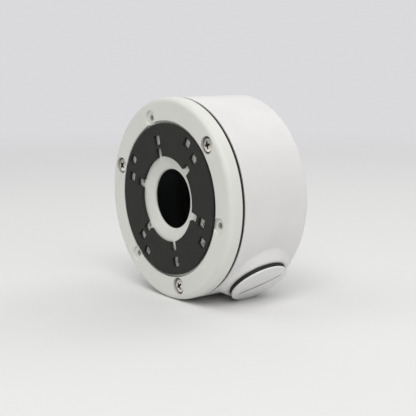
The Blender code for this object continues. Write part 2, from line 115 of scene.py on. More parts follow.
def onCircle(radius, angle):
    return (radius * cos(angle), radius * sin(angle))


def plainSection(inner, outer, low, high):
    # Half the section of a plain ring, or of a rod where inner is 0
    return [(inner, low), (outer, low), (outer, high), (inner, high)]


def spun(profile, steps, centre=(0.0, 0.0), bm=None):
    # A line of (radius, height) points spun about Z, with its flat ends closed by one face each
    bm = bm or bmesh.new()
    points = [bm.verts.new((radius + centre[0], centre[1], height)) for radius, height in profile]
    sides = [bm.edges.new(pair) for pair in zip(points, points[1:])]
    if profile[0][0] > 0 and profile[-1][0] > 0:
        sides.append(bm.edges.new((points[-1], points[0])))
    bmesh.ops.spin(bm, geom=points + sides, cent=(*centre, 0), axis=(0, 0, 1), angle=2 * pi,
                   steps=steps, use_merge=True)
    poles = [v for v in bm.verts if hypot(v.co.x - centre[0], v.co.y - centre[1]) < same]
    bmesh.ops.remove_doubles(bm, verts=poles, dist=same)
    flat = [v for v in poles if v.is_valid
            and all(abs(e.other_vert(v).co.z - v.co.z) < same for e in v.link_edges)]
    bmesh.ops.dissolve_verts(bm, verts=flat)
    bmesh.ops.recalc_face_normals(bm, faces=bm.faces)
    return bm


def roundRing(bm, radius, height, rounding):
    # Rounds the edge that runs round the axis at this radius and height; rounding is (width, segments)
    width, segments = rounding

    def onRing(v):
        return abs(hypot(v.co.x, v.co.y) - radius) < same and abs(v.co.z - height) < same

    ring = [e for e in bm.edges if all(onRing(v) for v in e.verts)]
    bmesh.ops.bevel(bm, geom=ring, offset=width, offset_type="OFFSET", segments=segments, profile=0.5,
                    affect="EDGES", material=-1)


def makeObject(name, bm, view, finishes=()):
    # Moves the mesh from its own view into the scene, so the object stays at the origin
    bmesh.ops.recalc_face_normals(bm, faces=bm.faces)
    bm.transform(view)
    mesh = bpy.data.meshes.new(name)
    bm.to_mesh(mesh)
    bm.free()
    for finish in finishes:
        mesh.materials.append(finish)
    thing = bpy.data.objects.new(name, mesh)
    bpy.context.scene.collection.objects.link(thing)
    return thing


def carve(piece, cutters, view, operation="DIFFERENCE"):
    # Cuts the cutters from the piece, or joins them to it, and keeps the result as plain mesh
    tools = [makeObject("cutter", bm, view) for bm in cutters]
    for tool in tools:
        modifier = piece.modifiers.new("cut", "BOOLEAN")
        modifier.operation = operation
        modifier.solver = "EXACT"
        modifier.object = tool
    bpy.context.view_layer.update()
    cut = bpy.data.meshes.new_from_object(piece.evaluated_get(bpy.context.evaluated_depsgraph_get()))
    piece.modifiers.clear()
    piece.data = cut
    for tool in tools:
        bpy.data.objects.remove(tool)


def finishPiece(piece, node, sharpAngle=32, finishOf=None):
    # Welds, smooths and hands the piece over to its body; finishOf gives each face its finish by number
    mesh = piece.data
    bm = bmesh.new()
    bm.from_mesh(mesh)
    bmesh.ops.remove_doubles(bm, verts=bm.verts, dist=same)
    bm.to_mesh(mesh)
    bm.free()
    mesh.name = piece.name
    for face in mesh.polygons:
        face.material_index = int(finishOf(face.center)) if finishOf else 0
    mesh.shade_smooth()
    mesh.set_sharp_from_angle(angle=radians(sharpAngle))
    weighted = piece.modifiers.new("flat faces stay flat", "WEIGHTED_NORMAL")
    weighted.keep_sharp = True
    weighted.weight = 60
    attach(piece, bodyOf[node])
    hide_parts(node)
    print("made", piece.name, len(mesh.polygons), "faces")


class Value:
    # One socket, so that sums on values add their Math nodes
    def __init__(self, finish, socket):
        self.finish, self.socket = finish, socket

    def math(self, operation, first, second):
        return self.finish.add("ShaderNodeMath", {"operation": operation}, {0: first, 1: second})[0]

    def __add__(self, other):
        return self.math("ADD", self, other)

    def __radd__(self, other):
        return self.math("ADD", other, self)

    def __sub__(self, other):
        return self.math("SUBTRACT", self, other)

    def __rsub__(self, other):
        return self.math("SUBTRACT", other, self)

    def __mul__(self, other):
        return self.math("MULTIPLY", self, other)

    def __rmul__(self, other):
        return self.math("MULTIPLY", other, self)


class NodeOut:
    # A node whose outputs are read as values, by name or number
    def __init__(self, finish, node):
        self.finish, self.node = finish, node

    def __getitem__(self, name):
        return Value(self.finish, self.node.outputs[name])


class Finish:
    # The node tree of a material or of the world
    def __init__(self, owner):
        owner.use_nodes = True
        self.tree = owner.node_tree
        self.tree.nodes.clear()

    def add(self, kind, settings=None, sockets=None):
        # Any node: its type, its settings, and the values or links of its sockets
        node = self.tree.nodes.new(kind)
        for name, setting in (settings or {}).items():
            setattr(node, name, setting)
        for name, given in (sockets or {}).items():
            if isinstance(given, Value):
                self.tree.links.new(given.socket, node.inputs[name])
            else:
                node.inputs[name].default_value = given
        return NodeOut(self, node)

    def noise(self, place, scale, detail=2.0, roughness=0.5):
        return self.add("ShaderNodeTexNoise", {}, {"Vector": place, "Scale": scale, "Detail": detail,
                                                   "Roughness": roughness})["Fac"]

    def between(self, value, low, high):
        # 0 below low, 1 above high, and a soft step between them
        return self.add("ShaderNodeMapRange", {"interpolation_type": "SMOOTHSTEP"},
                        {"Value": value, "From Min": low, "From Max": high})["Result"]

    def mixColour(self, share, first, second):
        # The Mix node's colours are its inputs 6 and 7 and its output 2
        first, second = (given if isinstance(given, Value) else (*given, 1) for given in (first, second))
        return self.add("ShaderNodeMix", {"data_type": "RGBA"}, {0: share, 6: first, 7: second})[2]

    def place(self):
        return self.add("ShaderNodeTexCoord")["Object"]

    def distanceTo(self, place, point):
        return self.add("ShaderNodeVectorMath", {"operation": "DISTANCE"}, {0: place, 1: point})["Value"]

    def bump(self, height, strength, distance, normal=None):
        sockets = {"Strength": strength, "Distance": distance, "Height": height}
        if normal:
            sockets["Normal"] = normal
        return self.add("ShaderNodeBump", {}, sockets)["Normal"]

    def surface(self, **sockets):
        given = {name.replace("_", " "): value for name, value in sockets.items()}
        shader = self.add("ShaderNodeBsdfPrincipled", {}, given)
        self.add("ShaderNodeOutputMaterial", {}, {"Surface": shader["BSDF"]})


def newFinish(name):
    material = bpy.data.materials.new(name)
    return material, Finish(material)


coatLook = {
    # coverColour is the box's paint made a little darker and yellower: painted shade and a painted warm
    # cast on the cover's face
    "boxColour": (0.81, 0.80, 0.79), "coverColour": (0.79, 0.79, 0.745), "plugColour": (0.825, 0.82, 0.815),
    "slotColour": (0.66, 0.65, 0.62),     # painted shade with a little dust: the plug's slot, the screws' sinks and the ears' holes
    "tint": 0.96,                         # the darker patches, against the colour
    "patchScale": 55.0, "patchRange": (0.4, 0.75), "roughLow": 0.36, "roughHigh": 0.5, "bump": 0.5,
    "peelScale": 420.0, "peelDepth": 0.035 * mm, "grainScale": 900.0, "grainDepth": 0.012 * mm,
    "speckScale": 160.0, "speckColour": (0.52, 0.46, 0.40), "speckShare": 0.6,
    "speckSize": (0.03, 0.06), "speckRare": (0.955, 0.96),
}


def paintedCoat(name, colour):
    # Powder coat on a casting: an orange peel, a fine grain, faint patches and a few specks
    material, f = newFinish(name)
    place = f.place()
    patches = f.noise(place, coatLook["patchScale"], detail=3.0)
    peel = f.noise(place, coatLook["peelScale"], detail=1.0)
    grain = f.noise(place, coatLook["grainScale"])
    darker = tuple(channel * coatLook["tint"] for channel in colour)
    shade = f.mixColour(f.between(patches, *coatLook["patchRange"]), colour, darker)
    cell = f.add("ShaderNodeTexVoronoi", {}, {"Vector": place, "Scale": coatLook["speckScale"]})
    rare = f.add("ShaderNodeSeparateColor", {}, {"Color": cell["Color"]})["Red"]
    outside = f.between(cell["Distance"], *coatLook["speckSize"])
    speck = (1 - outside) * f.between(rare, *coatLook["speckRare"])
    shade = f.mixColour(speck * coatLook["speckShare"], shade, coatLook["speckColour"])
    rough = coatLook["roughLow"] + (coatLook["roughHigh"] - coatLook["roughLow"]) * patches
    normal = f.bump(peel, coatLook["bump"], coatLook["peelDepth"])
    normal = f.bump(grain, coatLook["bump"], coatLook["grainDepth"], normal)
    f.surface(Base_Color=shade, Roughness=rough, Normal=normal)
    return material


rubberLook = {
    "colour": (0.006, 0.006, 0.0065), "dust": (0.016, 0.016, 0.0155), "dustScale": 140.0,
    "dustRange": (0.5, 0.8), "dustShare": 0.5,
    "grainScale": 900.0, "grainDepth": 0.03 * mm, "bump": 0.4, "rough": 0.6, "roughGrain": 0.2,
}


def blackRubber(name):
    # Moulded rubber with a fine grain and a little dust
    material, f = newFinish(name)
    place = f.place()
    grain = f.noise(place, rubberLook["grainScale"], detail=3.0)
    dust = f.between(f.noise(place, rubberLook["dustScale"], detail=4.0), *rubberLook["dustRange"])
    shade = f.mixColour(dust * rubberLook["dustShare"], rubberLook["colour"], rubberLook["dust"])
    f.surface(Base_Color=shade, Roughness=rubberLook["rough"] + grain * rubberLook["roughGrain"],
              Normal=f.bump(grain, rubberLook["bump"], rubberLook["grainDepth"]))
    return material


padLook = {
    "colour": (0.020, 0.020, 0.017), "light": (0.026, 0.026, 0.023), "mottleScale": 240.0,
    "mottleRange": (0.35, 0.7), "poreScale": 1900.0, "poreDepth": 0.06 * mm, "bump": 0.35,
    "rough": 0.82, "roughMottle": 0.12,
}


def foamRubber(name):
    # Closed foam with fine pores and a faint mottle
    material, f = newFinish(name)
    place = f.place()
    mottle = f.noise(place, padLook["mottleScale"], detail=4.0, roughness=0.6)
    pores = f.add("ShaderNodeTexVoronoi", {}, {"Vector": place, "Scale": padLook["poreScale"]})["Distance"]
    shade = f.mixColour(f.between(mottle, *padLook["mottleRange"]), padLook["colour"], padLook["light"])
    f.surface(Base_Color=shade, Roughness=padLook["rough"] + mottle * padLook["roughMottle"],
              Normal=f.bump(pores, padLook["bump"], padLook["poreDepth"]))
    return material


insideLook = {
    "colour": (0.115, 0.122, 0.128), "light": (0.13, 0.135, 0.14), "lightShare": 0.4,
    "grainScale": 700.0, "grainDepth": 0.04 * mm, "bump": 0.4, "rough": 0.7, "roughGrain": 0.1,
}


def darkInside(name):
    # The dark primer inside the casting; the cover also uses it as painted shade at the foot of each
    # screw's sink
    material, f = newFinish(name)
    grain = f.noise(f.place(), insideLook["grainScale"], detail=3.0)
    shade = f.mixColour(grain * insideLook["lightShare"], insideLook["colour"], insideLook["light"])
    f.surface(Base_Color=shade, Roughness=insideLook["rough"] + grain * insideLook["roughGrain"],
              Normal=f.bump(grain, insideLook["bump"], insideLook["grainDepth"]))
    return material


steelLook = {
    "colour": (0.93, 0.90, 0.82), "dull": (0.66, 0.62, 0.53), "recessShade": 0.12,
    "bloomScale": 480.0, "bloomRange": (0.4, 0.7), "bloomShare": 0.6,
    "grainScale": 1300.0, "grainDepth": 0.012 * mm, "bump": 0.3,
    "rough": 0.24, "roughGrain": 0.2, "roughBloom": 0.1,
}


def screwSteel(name, shade=1.0):
    # Stainless steel with fine scratches and a dull bloom; a shade below 1 makes a darker copy, painted
    # shade for the cross recess and the edge of the head
    material, f = newFinish(name)
    place = f.place()
    grain = f.noise(place, steelLook["grainScale"], detail=4.0, roughness=0.6)
    bloom = f.between(f.noise(place, steelLook["bloomScale"]), *steelLook["bloomRange"])
    bright = tuple(channel * shade for channel in steelLook["colour"])
    dull = tuple(channel * shade for channel in steelLook["dull"])
    rough = steelLook["rough"] + grain * steelLook["roughGrain"] + bloom * steelLook["roughBloom"]
    f.surface(Base_Color=f.mixColour(bloom * steelLook["bloomShare"], bright, dull), Metallic=1.0,
              Roughness=rough, Normal=f.bump(grain, steelLook["bump"], steelLook["grainDepth"]))
    return material


boxCoat = paintedCoat("boxCoat", coatLook["boxColour"])
# The cover's coat is a darker, yellower copy of the box's paint: painted shade and a painted warm cast
coverCoat = paintedCoat("coverCoat", coatLook["coverColour"])
plugCoat = paintedCoat("plugCoat", coatLook["plugColour"])
# The plug's slot, the screws' sinks and the ears' holes get this coat: painted shade with a little dust
dustAndShadeCoat = paintedCoat("dustAndShadeCoat", coatLook["slotColour"])
gasketRubber = blackRubber("gasketRubber")
padFoam = foamRubber("padFoam")
# Dark primer for the inside; the cover also uses it as painted shade at the foot of each screw's sink
darkPrimerAndSinkShade = darkInside("darkPrimerAndSinkShade")
steel = screwSteel("screwSteel")
# A darker copy of the steel: painted shade in the cross recess and on the edge of each head
paintedShadeSteel = screwSteel("screwPaintedShade", steelLook["recessShade"])
print("finishes made")


# The back box, and the conduit entry on its side
boxShape = {
    "wall": 3.0 * mm, "floor": 3.0 * mm, "holeMouth": 0.4 * mm,
    "rearRound": (1.4 * mm, 8), "insideRound": (2.0 * mm, 5),     # each round is (width, segments)
    "rimRound": (0.2 * mm, 3), "innerRimRound": (0.1 * mm, 2),
    "screwBoss": 4.3 * mm, "screwHole": 2.2 * mm, "screwHoleDepth": 10.0 * mm, "bossSetBack": 0.2 * mm,
    "fixingInset": 11.0 * mm, "fixingPad": 5.5 * mm, "fixingRise": 1.5 * mm, "fixingHole": 2.6 * mm,
    "rearHole": 11.0 * mm, "rearOffset": 16.0 * mm, "steps": 240, "smallSteps": 48,
}
entryShape = {
    "thread": 12.5 * mm, "land": 3.0 * mm, "blend": 4.4 * mm, "sleeve": 3.5 * mm, "skin": 0.05 * mm,
    "length": 8.1 * mm, "wallRelief": 0.3 * mm, "steps": 144, "flankSteps": 18, "mouth": 0.4 * mm,
}
boxInner = coverRadius - boxShape["wall"]
screwAngles = around(3, screwAngle)


def shellMesh():
    s = boxShape
    bm = spun([(0, 0), (coverRadius, 0), (coverRadius, boxDepth), (boxInner, boxDepth),
               (boxInner, s["floor"]), (0, s["floor"])], s["steps"])
    roundRing(bm, coverRadius, 0, s["rearRound"])
    roundRing(bm, coverRadius, boxDepth, s["rimRound"])
    roundRing(bm, boxInner, boxDepth, s["innerRimRound"])
    roundRing(bm, boxInner, s["floor"], s["insideRound"])
    return bm


def entryMesh():
    # A straight step spun about the plug's axis; each of its levels is then moved to its own surface:
    # -2 the sleeve's end, -1 the middle of the wall, 0 just under the skin, 1 the face
    s = entryShape
    face = s["thread"] + s["land"]
    foot = face + s["blend"]
    profile = [(0, 1)]
    for k in range(s["flankSteps"] + 1):
        share = k / s["flankSteps"]
        profile.append((face + s["blend"] * share, (1 + cos(pi * share)) / 2))
    profile += [(foot, -1), (s["thread"] + s["sleeve"], -1), (s["thread"] + s["sleeve"], -2), (0, -2)]
    skin = coverRadius - s["skin"]
    middle = coverRadius - boxShape["wall"] / 2
    bm = spun(profile, s["steps"])
    for v in bm.verts:
        across = abs(v.co.x)
        levels = {1: entryFace, 0: sqrt(skin ** 2 - across ** 2), -1: sqrt(middle ** 2 - across ** 2),
                  -2: entryFace - s["length"] - gap}
        low = min(int((v.co.z + 2) // 1) - 2, 0)
        v.co.z = levels[low] + (levels[low + 1] - levels[low]) * (v.co.z - low)
    # The flare is trimmed just short of the wall that the box is fixed to
    trim = entryPoint.y + s["wallRelief"]
    bmesh.ops.bisect_plane(bm, geom=bm.verts[:] + bm.edges[:] + bm.faces[:], plane_co=(0, trim, 0),
                           plane_no=(0, -1, 0), clear_outer=True)
    bmesh.ops.holes_fill(bm, edges=[e for e in bm.edges if e.is_boundary], sides=0)
    bmesh.ops.triangulate(bm, faces=[f for f in bm.faces if len(f.verts) == 4])
    return bm


def makeBackBox():
    s = boxShape
    box = makeObject("backBox", shellMesh(), frontView, [boxCoat, darkPrimerAndSinkShade])
    fixingCircle = boxInner - s["fixingInset"]
    fixingAngles = around(4, plugAngle + pi / 4)
    bosses = bmesh.new()
    fixingTop = s["floor"] + s["fixingRise"]
    screwTop = boxDepth - s["bossSetBack"]
    standing = [(s["screwBoss"], screwTop, onCircle(screwCircle, angle)) for angle in screwAngles]
    standing += [(s["fixingPad"], fixingTop, onCircle(fixingCircle, angle)) for angle in fixingAngles]
    for radius, top, centre in standing:
        spun(plainSection(0, radius, s["floor"] / 2, top), s["smallSteps"], centre, bosses)
    carve(box, [bosses], frontView, "UNION")
    carve(box, [entryMesh()], entryView, "UNION")

    holes = bmesh.new()
    deep = boxDepth - s["screwHoleDepth"]
    for angle in screwAngles:
        spun(plainSection(0, s["screwHole"], deep, boxDepth + past), s["smallSteps"],
             onCircle(screwCircle, angle), holes)
    rearCentre = onCircle(s["rearOffset"], plugAngle + pi)
    wallHoles = [(s["fixingHole"], fixingTop, s["smallSteps"], onCircle(fixingCircle, angle))
                 for angle in fixingAngles]
    wallHoles.append((s["rearHole"], s["floor"], 2 * s["smallSteps"], rearCentre))
    for radius, high, steps, centre in wallHoles:
        spun([(0, -past), (radius + s["holeMouth"] + past, -past), (radius, s["holeMouth"]),
              (radius, high + past), (0, high + past)], steps, centre, holes)
    carve(box, [holes], frontView)

    beadMiddle = gasketHigh.x - gasketShape["width"] / 2
    half = gasketShape["bead"] / 2 + gap
    groove = spun(plainSection(beadMiddle - half, beadMiddle + half, gasketLow.z - gap, boxDepth + past),
                  s["steps"])
    # Turned by half a step, so that its edges lie between the shell's
    halfStep = Matrix.Rotation(pi / s["steps"], 3, "Z")
    bmesh.ops.rotate(groove, cent=(0, 0, 0), matrix=halfStep, verts=groove.verts)
    carve(box, [groove], frontView)

    e = entryShape
    bore = e["thread"] + gap
    start = entryFace - e["length"] - gap - past
    mouth = spun([(0, start), (bore, start), (bore, entryFace - e["mouth"]),
                  (bore + e["mouth"] + past, entryFace + past), (0, entryFace + past)], e["steps"])
    carve(box, [mouth], entryView)

    def isInside(c):
        return -c.y > s["floor"] - same and hypot(c.x, c.z) < boxInner + about

    finishPiece(box, "back_box", finishOf=isInside)


gasketShape = {
    "width": 2.0 * mm, "bead": 0.7 * mm, "pressed": 0.05 * mm, "steps": 240,
    "round": (0.12 * mm, 3), "beadRound": (0.12 * mm, 2),
}


def makeGasket():
    s = gasketShape
    outer, inner = gasketHigh.x, gasketHigh.x - s["width"]
    middle, half = (outer + inner) / 2, s["bead"] / 2
    base, top = boxDepth + s["pressed"], coverBase - s["pressed"]
    bm = spun([(inner, base), (inner, top), (outer, top), (outer, base),
               (middle + half, base), (middle + half, gasketLow.z), (middle - half, gasketLow.z),
               (middle - half, base)], s["steps"])
    for radius in (inner, outer):
        for height in (base, top):
            roundRing(bm, radius, height, s["round"])
    for radius in (middle - half, middle + half):
        roundRing(bm, radius, gasketLow.z, s["beadRound"])
    finishPiece(makeObject("seamGasket", bm, frontView, [gasketRubber]), "cover_gasket")


coverShape = {
    "bore": 14.75 * mm, "recess": 38.6 * mm, "plate": 3.2 * mm, "pocket": 37.6 * mm,
    "dish": 1.9 * mm, "dishRadius": 20.75 * mm, "spigot": 1.8 * mm, "steps": 240, "smallSteps": 48,
    "lipRound": (0.8 * mm, 6), "underLipRound": (0.4 * mm, 3), "dishRound": (0.8 * mm, 3),
    "recessFillet": (0.3 * mm, 3), "recessRound": (0.35 * mm, 3), "edgeRound": (2.6 * mm, 6),
    "backRound": (0.2 * mm, 3),
    # sinkDark: how far above the screw's seat the sink's wall is painted dark, as shade
    "sinkRadius": 4.2 * mm, "sinkRound": (0.15 * mm, 3), "sinkDark": 1.6 * mm,
    "screwHole": 2.2 * mm, "bossRelief": 4.6 * mm,
    "earRadius": 3.9 * mm, "earStep": 0.3 * mm, "earReach": 3.0 * mm, "earTurn": 67.3, "earHole": 1.6 * mm,
    "tapped": 1.3 * mm, "tapRound": (0.2 * mm, 3), "notchHoleReach": 8.4 * mm, "holeShift": 0.35 * mm,
}


def mouthProfile(hole, sink, sinkFloor, top, rounding):
    # A hole below a wider sink, with a rounded mouth in the face at the height top. The sink's wall is in
    # two halves, so that its foot can take a darker painted shade than the rest
    width, segments = rounding
    foot = coverBase - 4 * past
    profile = [(0, foot), (hole, foot), (hole, sinkFloor), (sink, sinkFloor), (sink, (sinkFloor + top) / 2)]
    for k in range(segments + 1):
        turn = pi / 2 * k / segments
        profile.append((sink + width * (1 - cos(turn)), top - width * (1 - sin(turn))))
    profile += [(sink + width, top + past), (0, top + past)]
    return profile


def tappedPlaces():
    # The tapped holes lie under the pad's cut-outs, apart from two that lie in its notches
    s, p = coverShape, padShape
    outer, inner = around(3, radians(p["outerTurn"])), around(3, radians(p["innerTurn"]))
    notched = outer.pop(1), inner.pop(1)
    square = around(4, radians(p["squareTurn"]))
    rows = ((p["squareInset"], square), (p["outerInset"], outer), (p["innerInset"], inner))
    places = [(padHigh.x - inset + s["holeShift"], a) for inset, angles in rows for a in angles]
    places += [(s["bore"] + s["notchHoleReach"], a) for a in notched]
    return [onCircle(radius, screwAngle + a) for radius, a in places]


def makeCover():
    s = coverShape
    spigotTip = frontBox("front_cover")[0].z
    spigotOuter = boxInner - gap
    underside, mouth = recessFloor - s["plate"], recessFloor - s["dish"]
    bm = spun([(s["bore"], underside), (s["bore"], mouth), (s["dishRadius"], recessFloor),
               (s["recess"], recessFloor), (s["recess"], frontHeight),
               (coverRadius, frontHeight), (coverRadius, coverBase),
               (spigotOuter, coverBase), (spigotOuter, spigotTip), (spigotOuter - s["spigot"], spigotTip),
               (spigotOuter - s["spigot"], coverBase), (s["pocket"], coverBase), (s["pocket"], underside)],
              s["steps"])
    roundRing(bm, s["bore"], mouth, s["lipRound"])
    roundRing(bm, s["dishRadius"], recessFloor, s["dishRound"])
    roundRing(bm, s["bore"], underside, s["underLipRound"])
    roundRing(bm, s["recess"], recessFloor, s["recessFillet"])
    roundRing(bm, s["recess"], frontHeight, s["recessRound"])
    roundRing(bm, coverRadius, frontHeight, s["edgeRound"])
    roundRing(bm, coverRadius, coverBase, s["backRound"])
    cover = makeObject("frontCover", bm, frontView, [coverCoat, darkPrimerAndSinkShade, dustAndShadeCoat])

    reliefs, sinks, taps = bmesh.new(), bmesh.new(), bmesh.new()
    seat = screwHigh.z - screwShape["headHeight"] - gap
    sinkMouth = s["sinkRadius"] + s["sinkRound"][0]
    tapSeat = recessFloor - 2 * s["tapRound"][0]
    screwPlaces = [onCircle(screwCircle, angle) for angle in screwAngles]
    ears = [onCircle(s["recess"] + s["earReach"], angle + radians(s["earTurn"])) for angle in screwAngles]
    for place in screwPlaces:
        spun(plainSection(0, s["bossRelief"], spigotTip - past, coverBase + gap / 3), s["smallSteps"],
             place, reliefs)
        spun(mouthProfile(s["screwHole"], s["sinkRadius"], seat, frontHeight, s["sinkRound"]),
             s["smallSteps"], place, sinks)
    for ear in ears:
        spun(mouthProfile(s["earHole"], s["earRadius"], recessFloor + s["earStep"], frontHeight,
                          s["sinkRound"]), s["smallSteps"], ear, sinks)
    for place in tappedPlaces():
        spun(mouthProfile(s["tapped"], s["tapped"] + same * 2, tapSeat, recessFloor, s["tapRound"]),
             s["smallSteps"] // 2, place, taps)
    for cutter in (reliefs, sinks, taps):
        carve(cover, [cutter], frontView)

    def finishOf(c):
        # 1 is the dark primer on the underside, and painted shade at the foot of each screw's sink. 2 is
        # painted shade with a little dust: the rest of the sink's wall with its mouth, and the ears' holes
        if any(hypot(c.x - x, c.z - z) < s["earHole"] + about for x, z in ears):
            return 2
        if any(hypot(c.x - x, c.z - z) < sinkMouth - same for x, z in screwPlaces):
            return 1 if -c.y < seat + s["sinkDark"] else 2 if -c.y < frontHeight - same else 0
        return hypot(c.x, c.z) < boxInner - 2 * about and -c.y < underside + 2 * about

    finishPiece(cover, "front_cover", finishOf=finishOf)


padShape = {
    "inner": 21.15 * mm, "twist": 2.2, "round": (0.18 * mm, 3), "steps": 240,
    "notchWidth": 4.3 * mm, "notchDepth": 4.3 * mm, "cutSize": 4.8 * mm, "corner": 0.9 * mm,
    "squareInset": 4.0 * mm, "squareTurn": 14.6, "outerInset": 6.4 * mm, "outerTurn": 0.0,
    "innerInset": 7.9 * mm, "innerTurn": 60.0,
}


def blockMesh(halfLong, halfWide, corner, low, high, radius, angles, turn):
    # Upright blocks with rounded corners on a ring, each set along its own radius
    bm = bmesh.new()
    for angle in angles:
        made = bmesh.ops.create_cube(bm, size=2)["verts"]
        bmesh.ops.scale(bm, vec=(halfLong, halfWide, (high - low) / 2), verts=made)
        upright = {e for v in made for e in v.link_edges
                   if abs(e.verts[0].co.z - e.verts[1].co.z) > same}
        rounded = bmesh.ops.bevel(bm, geom=list(upright), offset=corner, offset_type="OFFSET", segments=5,
                                  profile=0.5, affect="EDGES", material=-1)
        block = {v for f in rounded["faces"] for v in f.verts} | {v for v in made if v.is_valid}
        bmesh.ops.translate(bm, vec=(radius, 0, (high + low) / 2), verts=list(block))
        turned = Matrix.Rotation(turn + angle, 3, "Z")
        bmesh.ops.rotate(bm, cent=(0, 0, 0), matrix=turned, verts=list(block))
    return bm


def makePad():
    s = padShape
    bm = spun(plainSection(s["inner"], padHigh.x, padLow.z, padHigh.z), s["steps"])
    for radius in (padHigh.x, s["inner"]):
        roundRing(bm, radius, padHigh.z, s["round"])
    pad = makeObject("rubberPad", bm, frontView, [padFoam])
    turn = screwAngle + radians(s["twist"])
    low, high = padLow.z - past, padHigh.z + past
    half = s["cutSize"] / 2
    rings = [(s["notchDepth"], s["notchWidth"] / 2, s["inner"], around(6)),
             (half, half, padHigh.x - s["squareInset"], around(4, radians(s["squareTurn"]))),
             (half, half, padHigh.x - s["outerInset"], around(3, radians(s["outerTurn"]))),
             (half, half, padHigh.x - s["innerInset"], around(3, radians(s["innerTurn"])))]
    carve(pad, [blockMesh(halfLong, halfWide, s["corner"], low, high, radius, angles, turn)
                for halfLong, halfWide, radius, angles in rings], frontView)
    finishPiece(pad, "mounting_pad")


screwShape = {
    "head": 3.65 * mm, "headHeight": 2.3 * mm, "rimHeight": 1.6 * mm, "shank": 1.9 * mm, "steps": 64,
    "rimRound": (0.25 * mm, 4), "seatRound": (0.15 * mm, 2), "domeSteps": 8, "tipTaper": 0.7,
    "crossLong": 2.5 * mm, "crossWide": 0.6 * mm, "crossDeep": 1.7 * mm, "footTaper": (0.45, 0.7),
    "hub": 1.35 * mm, "hubTaper": 0.4, "hubTip": 1.1, "hubWaist": 0.9, "hubSteps": 24,
    "turns": (14.0, 52.0, 38.0),
    "darkUnder": 0.08 * mm, "darkReach": 1.05,    # painted shade: below the dome, and as far as the cross reaches
    "darkFrom": 0.9,                              # and out from this share of the head, as painted shade on its edge
}


def crossBlade(turn):
    # One arm pair of the cross, narrower towards its foot
    s = screwShape
    bm = bmesh.new()
    made = bmesh.ops.create_cube(bm, size=2)["verts"]
    bmesh.ops.scale(bm, vec=(s["crossLong"], s["crossWide"], (s["crossDeep"] + past) / 2), verts=made)
    foot = [v for v in made if v.co.z < 0]
    bmesh.ops.scale(bm, vec=(*s["footTaper"], 1), verts=foot)
    bmesh.ops.rotate(bm, cent=(0, 0, 0), matrix=Matrix.Rotation(turn, 3, "Z"), verts=made)
    return bm


def makeScrews():
    s = screwShape
    seat = screwHigh.z - s["headHeight"]
    rise = s["headHeight"] - s["rimHeight"]
    crown = (s["head"] ** 2 + rise ** 2) / (2 * rise)     # the radius of the dome

    def domeHeight(radius):
        return screwHigh.z - crown + sqrt(max(crown ** 2 - radius ** 2, 0))

    profile = [(0, screwHigh.z)]
    for k in range(1, s["domeSteps"] + 1):
        radius = s["head"] * k / s["domeSteps"]
        profile.append((radius, domeHeight(radius)))
    profile += [(s["head"], seat), (s["shank"], seat), (s["shank"], screwLow.z + s["shank"] / 3),
                (s["shank"] * s["tipTaper"], screwLow.z), (0, screwLow.z)]
    for number, (angle, turn) in enumerate(zip(screwAngles, s["turns"]), start=1):
        bm = spun(profile, s["steps"])
        roundRing(bm, s["head"], seat + s["rimHeight"], s["rimRound"])
        roundRing(bm, s["head"], seat, s["seatRound"])
        view = frontView @ Matrix.Translation((*onCircle(screwCircle, angle), 0))
        screw = makeObject(f"coverScrew{number}", bm, view, [steel, paintedShadeSteel])
        blades = [crossBlade(radians(turn)), crossBlade(radians(turn) + pi / 2)]
        carve(screw, blades, view @ Matrix.Translation((0, 0, screwHigh.z + (past - s["crossDeep"]) / 2)))
        hub = spun([(0, -s["crossDeep"] * s["hubTip"]),
                    (s["hub"] * s["hubTaper"], -s["crossDeep"] * s["hubWaist"]),
                    (s["hub"], past), (0, past)], s["hubSteps"])
        carve(screw, [hub], view @ Matrix.Translation((0, 0, screwHigh.z)))
        centre = view.translation

        # Faces in the cross recess and on the edge of the head get the darker steel, as painted shade
        def isPaintedShade(c):
            across = hypot(c.x - centre.x, c.z - centre.z)
            sunk = seat < -c.y < domeHeight(across) - s["darkUnder"]
            return (across < s["crossLong"] * s["darkReach"] and sunk
                    or across > s["head"] * s["darkFrom"])

        finishPiece(screw, f"cover_screw_{number}", sharpAngle=30, finishOf=isPaintedShade)


plugShape = {
    "headThickness": 0.9 * mm, "headBase": 1.9 * mm, "dome": 0.7 * mm, "domeSteps": 8,
    "edgeRound": (0.25 * mm, 4), "seatRound": (0.125 * mm, 2),
    "core": 11.75 * mm, "thread": 12.5 * mm, "pitch": 1.5 * mm, "wall": 2.5 * mm, "floor": 3.05 * mm,
    "tipRound": (0.4 * mm, 3), "hollowRound": (0.3 * mm, 2), "steps": 144,
    "ridgeFoot": 0.46, "ridgeCrest": 0.08,        # half widths, against the pitch
    "ridgeSink": 0.15 * mm, "ridgeStart": 0.6, "ridgeEnd": 1.1, "ridgeSteps": 72,
    "slotWidth": 1.5 * mm, "slotLength": 24.0 * mm, "slotDepth": 1.4 * mm, "slotTurn": 123.4,
    "slotSteps": 240,
}


def threadRidge(low, high):
    # One closed ridge wound up the core from low to high
    s = plugShape
    bm = bmesh.new()
    root = s["core"] - s["ridgeSink"]
    foot, crest = s["pitch"] * s["ridgeFoot"], s["pitch"] * s["ridgeCrest"]
    outline = [(root, -foot), (s["thread"], -crest), (s["thread"], crest), (root, foot)]
    corners = [bm.verts.new((radius, 0, low + height)) for radius, height in outline]
    start = bm.faces.new(corners)
    turns = (high - low) / s["pitch"]
    count = round(s["ridgeSteps"] * turns)
    bmesh.ops.spin(bm, geom=[start], cent=(0, 0, 0), axis=(0, 0, 1), dvec=(0, 0, (high - low) / count),
                   angle=2 * pi * turns, steps=count, use_duplicate=False)
    bmesh.ops.recalc_face_normals(bm, faces=bm.faces)
    return bm


